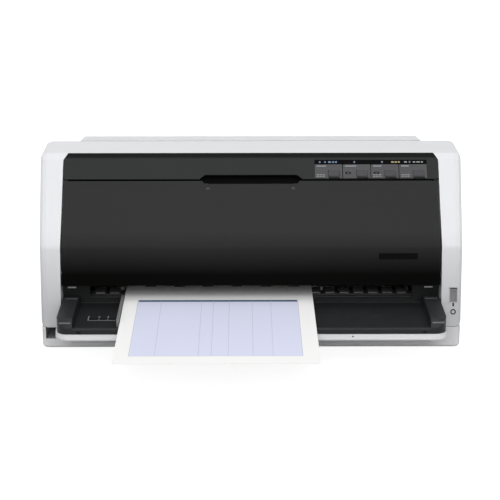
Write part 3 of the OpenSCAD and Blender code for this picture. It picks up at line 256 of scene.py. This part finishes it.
# paper, ink and marks
make(surface, "sheet_paper", (0.85, 0.85, 0.845), 0.85, tone=0.008, grain=3200.0, bump=0.10)
make(surface, "ink_dark", (0.035, 0.075, 0.15), 0.80, bump=0.05)
make(surface, "ink_mid", (0.48, 0.50, 0.61), 0.80, bump=0.05)
make(surface, "ink_pale", (0.64, 0.66, 0.81), 0.85, tone=0.01, bump=0.05)
make(surface, "mark_pale", (0.62, 0.63, 0.62), 0.55, bump=0.05)
make(surface, "mark_blue", (0.15, 0.22, 0.36), 0.50, bump=0.05)
make(surface, "mark_amber", (0.30, 0.25, 0.12), 0.50, bump=0.05)
make(surface, "mark_light", (0.30, 0.30, 0.30), 0.60, bump=0.05)
make(surface, "mark_grey", (0.22, 0.22, 0.23), 0.60, bump=0.05)
make(surface, "mark_dim", (0.20, 0.20, 0.205), 0.55, bump=0.05)

# nodes that are shaded apart from the rest of their slot
SHADES = {"switch_bezel": "bezel_grey", "rear_sheet_guide": "flap_white"}

for part in frame["record"]["subparts"]:
    o = nodes[part["node"]]
    shade = MATS[SHADES.get(part["node"], part["material_slot"])]
    for slot in o.material_slots:
        slot.material = shade
    if not o.material_slots:
        o.data.materials.append(shade)


# ---- Pieces that dress the frame ----
def piece(name, body, mat, verts, faces):
    mesh = bpy.data.meshes.new(name)
    mesh.from_pydata(verts, [], faces)
    mesh.update()
    o = bpy.data.objects.new(name, mesh)
    bpy.context.scene.collection.objects.link(o)
    mesh.materials.append(MATS[mat])
    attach(o, body)
    return o


LOW = -0.05  # how far most marks reach into the face that they lie on
SPOT_TOP = 0.06
EDGE_TOP = 0.07
BOX_FACES = ((3, 2, 1, 0), (4, 5, 6, 7), (0, 1, 5, 4), (1, 2, 6, 5), (2, 3, 7, 6), (3, 0, 4, 7))


def boxes(name, body, mat, place, items):
    """One mesh of boxes, each as low and high corners in the frame that place gives."""
    verts, faces = [], []
    for (x0, y0, z0), (x1, y1, z1) in items:
        n = len(verts)
        for z in (z0, z1):
            verts += [place(x, y, z) for x, y in ((x0, y0), (x1, y0), (x1, y1), (x0, y1))]
        faces += [tuple(n + i for i in face) for face in BOX_FACES]
    return piece(name, body, mat, verts, faces)


def mirrored(inner, outer):
    """Spans across that lie alike at the left and the right."""
    return ((-outer, -inner), (inner, outer))


def marks(name, body, slot, mat, place, rects, low, high):
    """One mesh of flat marks, each as x0, y0, x1, y1, from the low to the high z."""
    return boxes(name, body, mat, place,
                 [((x0, y0, low), (x1, y1, high)) for x0, y0, x1, y1 in rects])


def rings(name, body, slot, mat, place, items, low, high, sides=24):
    """One mesh of flat rings: centre x, y, outer radii and the bore's share of them."""
    verts, faces = [], []
    turns = [2 * math.pi * i / sides for i in range(sides)]
    for cx, cy, rx, ry, bore in items:
        n = len(verts)
        for k, z in ((1.0, low), (1.0, high), (bore, high), (bore, low)):
            verts += [place(cx + rx * k * math.cos(t), cy + ry * k * math.sin(t), z) for t in turns]
        for i in range(sides):
            j = (i + 1) % sides
            for a, b in ((0, 1), (1, 2), (2, 3), (3, 0)):
                faces.append((n + a * sides + i, n + a * sides + j, n + b * sides + j, n + b * sides + i))
    return piece(name, body, mat, verts, faces)


# ---- Form on the sheet: a tinted table with rules and a dark header bar ----
SHEET = span("paper_sheet", X)
TABLE = (SHEET[0] + 16.2, SHEET[1] - 17.7)
HEAD_Y = -10.0
FOOT_Y = -167.5
COLUMNS = (26.8, 72.6, 86.2, 104.0, 130.0, 151.0)  # from the table's left edge to each rule
RULES = [TABLE[0]] + [TABLE[0] + column for column in COLUMNS] + [TABLE[1]]
RULE_HALF = 0.3
FOOT_HALF = 0.25
HEADER_HALF = 2.6
HEADER_INSET = 0.6
INK_LOW = 0.01
TINT_TOP = 0.04
LINE_TOP = 0.06


def printed(name, mat, rects, top):
    marks(name, "paper_sheet", "sheet_paper", mat, on_sheet, rects, INK_LOW, top)


printed("form_tint", "ink_pale", [(TABLE[0], FOOT_Y, TABLE[1], HEAD_Y)], TINT_TOP)
printed("form_rules", "ink_mid",
        [(x - RULE_HALF, FOOT_Y, x + RULE_HALF, HEAD_Y) for x in RULES]
        + [(TABLE[0], FOOT_Y - FOOT_HALF, TABLE[1], FOOT_Y + FOOT_HALF)], LINE_TOP)
printed("form_header", "ink_dark",
        [(TABLE[0] + HEADER_INSET, HEAD_Y - HEADER_HALF, TABLE[1] - HEADER_INSET, HEAD_Y + HEADER_HALF)],
        LINE_TOP)

# ---- Key panel: small marks on its header band and its key fields ----
FIELDS = 4
FIELD_GAP = 0.8
KEYS = span("key_fields", X)
PITCH = (KEYS[1] - KEYS[0] + FIELD_GAP) / FIELDS
FIELD_X = [KEYS[0] + PITCH * i for i in range(FIELDS)]  # left edges of the key fields
HEADER_TOP = -0.3  # the black header band lies this far below the strip's face
LAMP_Y = (22.4, 24.2)
WHITE_Y = (22.6, 24.0)
SINK = 0.02
LIFT = 0.04


def panel_marks(name, mat, rects, top=0.0):
    marks(name, "case", "panel_black", mat, on_slope, rects, top - SINK, top + LIFT)


def header_marks(name, mat, spans, rows):
    panel_marks(name, mat, [(x0, rows[0], x1, rows[1]) for x0, x1 in spans], HEADER_TOP)


header_marks("header_marks_blue", "mark_blue",
             ((89.5, 92.5), (94.0, 96.0), (97.2, 99.6)), LAMP_Y)
header_marks("header_marks_amber", "mark_amber",
             ((162.4, 165.4), (166.4, 169.0), (170.0, 172.4)), LAMP_Y)
header_marks("header_marks_white", "mark_light",
             ((177.4, 180.6), (187.4, 190.4), (191.6, 195.6), (196.8, 199.2)), WHITE_Y)

MARK_X = 2.2  # left edge of a field's marks
BAR_ENDS = (13.0, 15.5, 12.0, 11.0)
BAR_ROW = (17.6, 18.8)
panel_marks("field_marks", "mark_grey",
            [(x + MARK_X, BAR_ROW[0], x + end, BAR_ROW[1]) for x, end in zip(FIELD_X, BAR_ENDS)])

NOTE_ROWS = (5.0, 7.0)
NOTE_H = 0.9
NOTE_W = 2.6
NOTE_PITCH = 3.4
panel_marks("field_notes", "mark_dim",
            [(FIELD_X[i] + MARK_X + NOTE_PITCH * k, y,
              FIELD_X[i] + MARK_X + NOTE_PITCH * k + NOTE_W, y + NOTE_H)
             for i in (0, 2, 3) for k in range(3) for y in NOTE_ROWS])

OVAL_PLACE = (6.0, 9.6)
OVAL_RADII = (3.4, 1.7)
OVAL_BORE = 0.55
rings("field_ovals", "case", "panel_black", "panel_black", on_slope,
      [(FIELD_X[i] + OVAL_PLACE[0], OVAL_PLACE[1]) + OVAL_RADII + (OVAL_BORE,) for i in (1, 2)],
      -SINK, LIFT)

# painted shadow below each push button
BUTTON_SHADOW_X = (16.0, 29.4)
BUTTON_SHADOW_Y = (2.6, 4.2)
panel_marks("button_shadows", "panel_black",
            [(x + BUTTON_SHADOW_X[0], BUTTON_SHADOW_Y[0], x + BUTTON_SHADOW_X[1], BUTTON_SHADOW_Y[1]) for x in FIELD_X])

# ---- Power switch: a bar and a ring under the rocker ----
SWITCH_X = sum(span("switch_bezel", X)) / 2
SWITCH_Z = 45.0
BAR_HALF = 0.9
BAR_Y = (3.0, 8.0)
RING_Y = -3.4
RING_R = 3.2
RING_BORE = 0.60
SWITCH_MARKS = (-0.02, 0.05)  # low and high z
switch_plane = on_toe(SWITCH_Z)
marks("switch_mark_on", "case", "case_white", "panel_black", switch_plane,
      [(SWITCH_X - BAR_HALF, BAR_Y[0], SWITCH_X + BAR_HALF, BAR_Y[1])], *SWITCH_MARKS)
rings("switch_mark_off", "case", "case_white", "panel_black", switch_plane,
      [(SWITCH_X, RING_Y, RING_R, RING_R, RING_BORE)], *SWITCH_MARKS)

# ---- Panel strip: black sheet that hangs behind the seam, standing in for the shade inside the case, and its return up to the strip ----
SHADE_SHEET_HALF = span("panel_strip", X)[1] - 4.7
SHADE_SHEET_Y = (-10.5, 17.2)
SHADE_SHEET_Z = (-9.8, -9.3)
RETURN_END = KEYS[0] - 1.7
RETURN_T = 0.5
RETURN_Z = (-9.4, -1.7)
boxes("strip_shade_sheet", "case", "panel_black", on_slope,
      [((-SHADE_SHEET_HALF, SHADE_SHEET_Y[0], SHADE_SHEET_Z[0]), (SHADE_SHEET_HALF, SHADE_SHEET_Y[1], SHADE_SHEET_Z[1])),
       ((-SHADE_SHEET_HALF, SHADE_SHEET_Y[1] - RETURN_T, RETURN_Z[0]), (RETURN_END, SHADE_SHEET_Y[1], RETURN_Z[1]))])

# ---- Cover: painted glints at the ends of its finger lip, and a black plate at the lower right ----
GLINT_X = (-49.6, 48.8)
GLINT_HALF = 1.9
GLINT_Y = (-10.3, -8.1)
marks("lip_glints", "front_cover", "cover_smoke", "button_grey", on_slope,
      [(x - GLINT_HALF, GLINT_Y[0], x + GLINT_HALF, GLINT_Y[1]) for x in GLINT_X], LOW, SPOT_TOP)

PLATE_Z = 100.0
PLATE = (145.1, 0.9, 189.3, 8.0)
PLATE_TOP = 0.15
marks("cover_plate", "front_cover", "panel_black", "panel_black", on_toe(PLATE_Z), [PLATE],
      LOW, PLATE_TOP)

# ---- Front sheet guide: scale marks on its floor, painted highlights along the rear and front edges of its arms ----
GUIDE_FLOOR = 45.0
SCALE = (-183.4, -49.9, -152.0, -48.7)
TICK_X = (-182.8, -171.0, -161.0)
TICK_HALF = 0.6
TICK_Y = (-49.5, -35.0)
TRACK_Y = (-46.1, -41.9)  # the edge guide's track, kept free of ticks
FLOOR_MARKS = (GUIDE_FLOOR - 0.02, GUIDE_FLOOR + 0.02)
ticks = [(TICK_X[0],) + TICK_Y]
for x in TICK_X[1:]:
    ticks += [(x, TICK_Y[0], TRACK_Y[0]), (x, TRACK_Y[1], TICK_Y[1])]
marks("scale_marks", "case", "guide_dark", "mark_dim", flat,
      [SCALE] + [(x - TICK_HALF, y0, x + TICK_HALF, y1) for x, y0, y1 in ticks], *FLOOR_MARKS)

ARM_END = span("front_sheet_guide", X)[1] - 3.1
ARM_LINE_IN = ARM_END - 14.0
ARM_LINE_Y = (-14.0, -12.6)  # a line across each arm's top, near its rear end
ARM_TOP = span("front_sheet_guide", Z)[1]
# painted highlight along the rear edge of each arm's top
marks("arm_rear_highlights", "case", "guide_dark", "edge_grey", flat,
      [(x0, ARM_LINE_Y[0], x1, ARM_LINE_Y[1]) for x0, x1 in mirrored(ARM_LINE_IN, ARM_END)],
      ARM_TOP - 0.03, ARM_TOP + 0.04)

ARM_FRONT = plane(-81.1, 53.9, math.radians(61.9))  # over the rounded top of an arm's front
ARM_FRONT_IN = ARM_END - 13.0
ARM_FRONT_HALF = 0.8
# painted highlight along the rounded top of each arm's front
marks("arm_front_highlights", "case", "guide_dark", "edge_worn", ARM_FRONT,
      [(x0, -ARM_FRONT_HALF, x1, ARM_FRONT_HALF) for x0, x1 in mirrored(ARM_FRONT_IN, ARM_END)],
      LOW, EDGE_TOP)

# ---- Apron shelf: a small dark spot on its rounded lip ----
LIP = plane(-86.2, 39.6, math.radians(47.0))
SPOT = (110.3, -0.8, 111.9, 0.8)
marks("lip_mark", "case", "case_lower", "panel_black", LIP, [SPOT], LOW, SPOT_TOP)

# ---- Front paper guide: a painted glint on each end wall, and painted highlights on its edge before each roller sleeve ----
END_GLINT_X = (-211.3, 199.8)
END_GLINT_W = 9.6
END_GLINT_Y = (12.3, 12.7)
END_GLINT_Z = (61.7, 63.3)
marks("guide_end_glints", "case", "guide_dark", "mark_pale", flat,
      [(x, END_GLINT_Y[0], x + END_GLINT_W, END_GLINT_Y[1]) for x in END_GLINT_X], *END_GLINT_Z)

SLEEVES = 22
SLEEVE_PITCH = 16.7
HIGHLIGHT_FACE = plane(24.0, 50.6, math.radians(16.8))
HIGHLIGHT_HALF = 5.3
HIGHLIGHT_Y = (0.4, 2.2)
sleeve_x = [(i - (SLEEVES - 1) / 2) * SLEEVE_PITCH for i in range(SLEEVES)]
# painted highlights on the guide's edge, one before each roller sleeve
marks("guide_edge_highlights", "case", "guide_dark", "bezel_grey", HIGHLIGHT_FACE,
      [(x - HIGHLIGHT_HALF, HIGHLIGHT_Y[0], x + HIGHLIGHT_HALF, HIGHLIGHT_Y[1]) for x in sleeve_x],
      LOW, EDGE_TOP)

# ---- Camera ----
SENSOR = 36.0
PICTURE_PX = 500.0
FOCAL_PX = 1498.0
LOOK_DOWN = math.radians(18.0)
ASIDE_PX = 9.0  # how far the view is turned to the right, in pixels
EYE = (-10.6, -1618.1, 637.3)

cam = bpy.data.cameras.new("camera")
cam.sensor_width = SENSOR
cam.lens = SENSOR * FOCAL_PX / PICTURE_PX
cam.clip_end = 20.0
eye = bpy.data.objects.new("camera", cam)
eye.location = flat(*EYE)
eye.rotation_euler = Euler((math.pi / 2 - LOOK_DOWN, 0.0,
                            -math.atan(ASIDE_PX * math.cos(LOOK_DOWN) / FOCAL_PX)))
bpy.context.scene.collection.objects.link(eye)
bpy.context.scene.camera = eye


# ---- Soft lamps, placed in metres ----
def lamp(name, place, target, size, power):
    data = bpy.data.lights.new(name, "AREA")
    data.shape = "SQUARE"
    data.size = size
    data.energy = power
    o = bpy.data.objects.new(name, data)
    o.location = place
    aim = [t - p for t, p in zip(target, place)]
    o.rotation_euler = (math.atan2(math.hypot(aim[0], aim[1]), -aim[2]), 0.0,
                        math.atan2(aim[1], aim[0]) - math.pi / 2)
    bpy.context.scene.collection.objects.link(o)


lamp("key", (0.05, -2.05, 1.75), (0.0, 0.0, 0.1), 1.9, 43.0)
lamp("low", (0.0, -1.7, 0.20), (0.0, 0.0, 0.05), 0.7, 3.6)
lamp("left", (-2.0, -0.7, 0.8), (-0.2, 0.0, 0.1), 1.2, 8.0)
lamp("right", (2.0, -0.7, 0.8), (0.2, 0.0, 0.1), 1.2, 8.0)
lamp("top", (0.0, 0.25, 2.4), (0.0, 0.0, 0.1), 1.6, 15.5)
lamp("back", (-0.8, 1.6, 1.5), (0.0, 0.0, 0.1), 1.2, 5.0)


# ---- White background ----
SKY_STRENGTH = 0.42


def backdrop(tree):
    """One for the rays that should see the white background, nought for the rest."""
    rays = add(tree, "LightPath")
    seen = rays.outputs["Is Camera Ray"]
    for other in ("Is Glossy Ray", "Is Transmission Ray"):
        most = add(tree, "Math")
        most.operation = "MAXIMUM"
        tree.links.new(seen, most.inputs[0])
        tree.links.new(rays.outputs[other], most.inputs[1])
        seen = most.outputs["Value"]
    return seen


def either(tree, first, second):
    """Mix that gives the second shader to the rays that see the backdrop."""
    mix = add(tree, "MixShader")
    tree.links.new(backdrop(tree), mix.inputs["Fac"])
    tree.links.new(first, mix.inputs[1])
    tree.links.new(second, mix.inputs[2])
    return mix.outputs["Shader"]


def grey(value):
    return (value, value, value, 1.0)


# the sky is dim from the horizon down, brightest halfway up and weaker overhead
SKY = [(0.0, grey(0.10)), (0.7, grey(1.0)), (0.98, grey(0.45))]
world = bpy.data.worlds.new("studio")
world.use_nodes = True
bpy.context.scene.world = world
wt = world.node_tree
soft = wt.nodes["Background"]
soft.inputs["Strength"].default_value = SKY_STRENGTH
level = add(wt, "SeparateXYZ")
wt.links.new(add(wt, "TexCoord").outputs["Generated"], level.inputs["Vector"])
wt.links.new(ramp(wt, level.outputs["Z"], SKY), soft.inputs["Color"])
bright = add(wt, "Background", Color=grey(1.0), Strength=1.0)
wt.links.new(either(wt, soft.outputs["Background"], bright.outputs["Background"]),
             wt.nodes["World Output"].inputs["Surface"])

# ---- Floor: takes the soft shadow and glows white to the eye ----
FLOOR_SIZE = 14.0
FLOOR_Z = -0.0002
FLOOR_TONE = 0.30
FLOOR_GLOW = 0.88
bpy.ops.mesh.primitive_plane_add(size=FLOOR_SIZE, location=(0.0, 0.0, FLOOR_Z))
floor = bpy.context.object
floor.name = "floor"
fm, ft, base = shader("floor", Base_Color=grey(FLOOR_TONE), Roughness=0.9)
glow = add(ft, "Emission", Strength=FLOOR_GLOW)
none = add(ft, "Emission", Strength=0.0)
both = add(ft, "AddShader")
ft.links.new(base.outputs["BSDF"], both.inputs[0])
ft.links.new(either(ft, none.outputs["Emission"], glow.outputs["Emission"]), both.inputs[1])
ft.links.new(both.outputs["Shader"], ft.nodes["Material Output"].inputs["Surface"])
floor.data.materials.append(fm)

bpy.context.scene.view_settings.view_transform = "Standard"

bpy.context.view_layer.update()
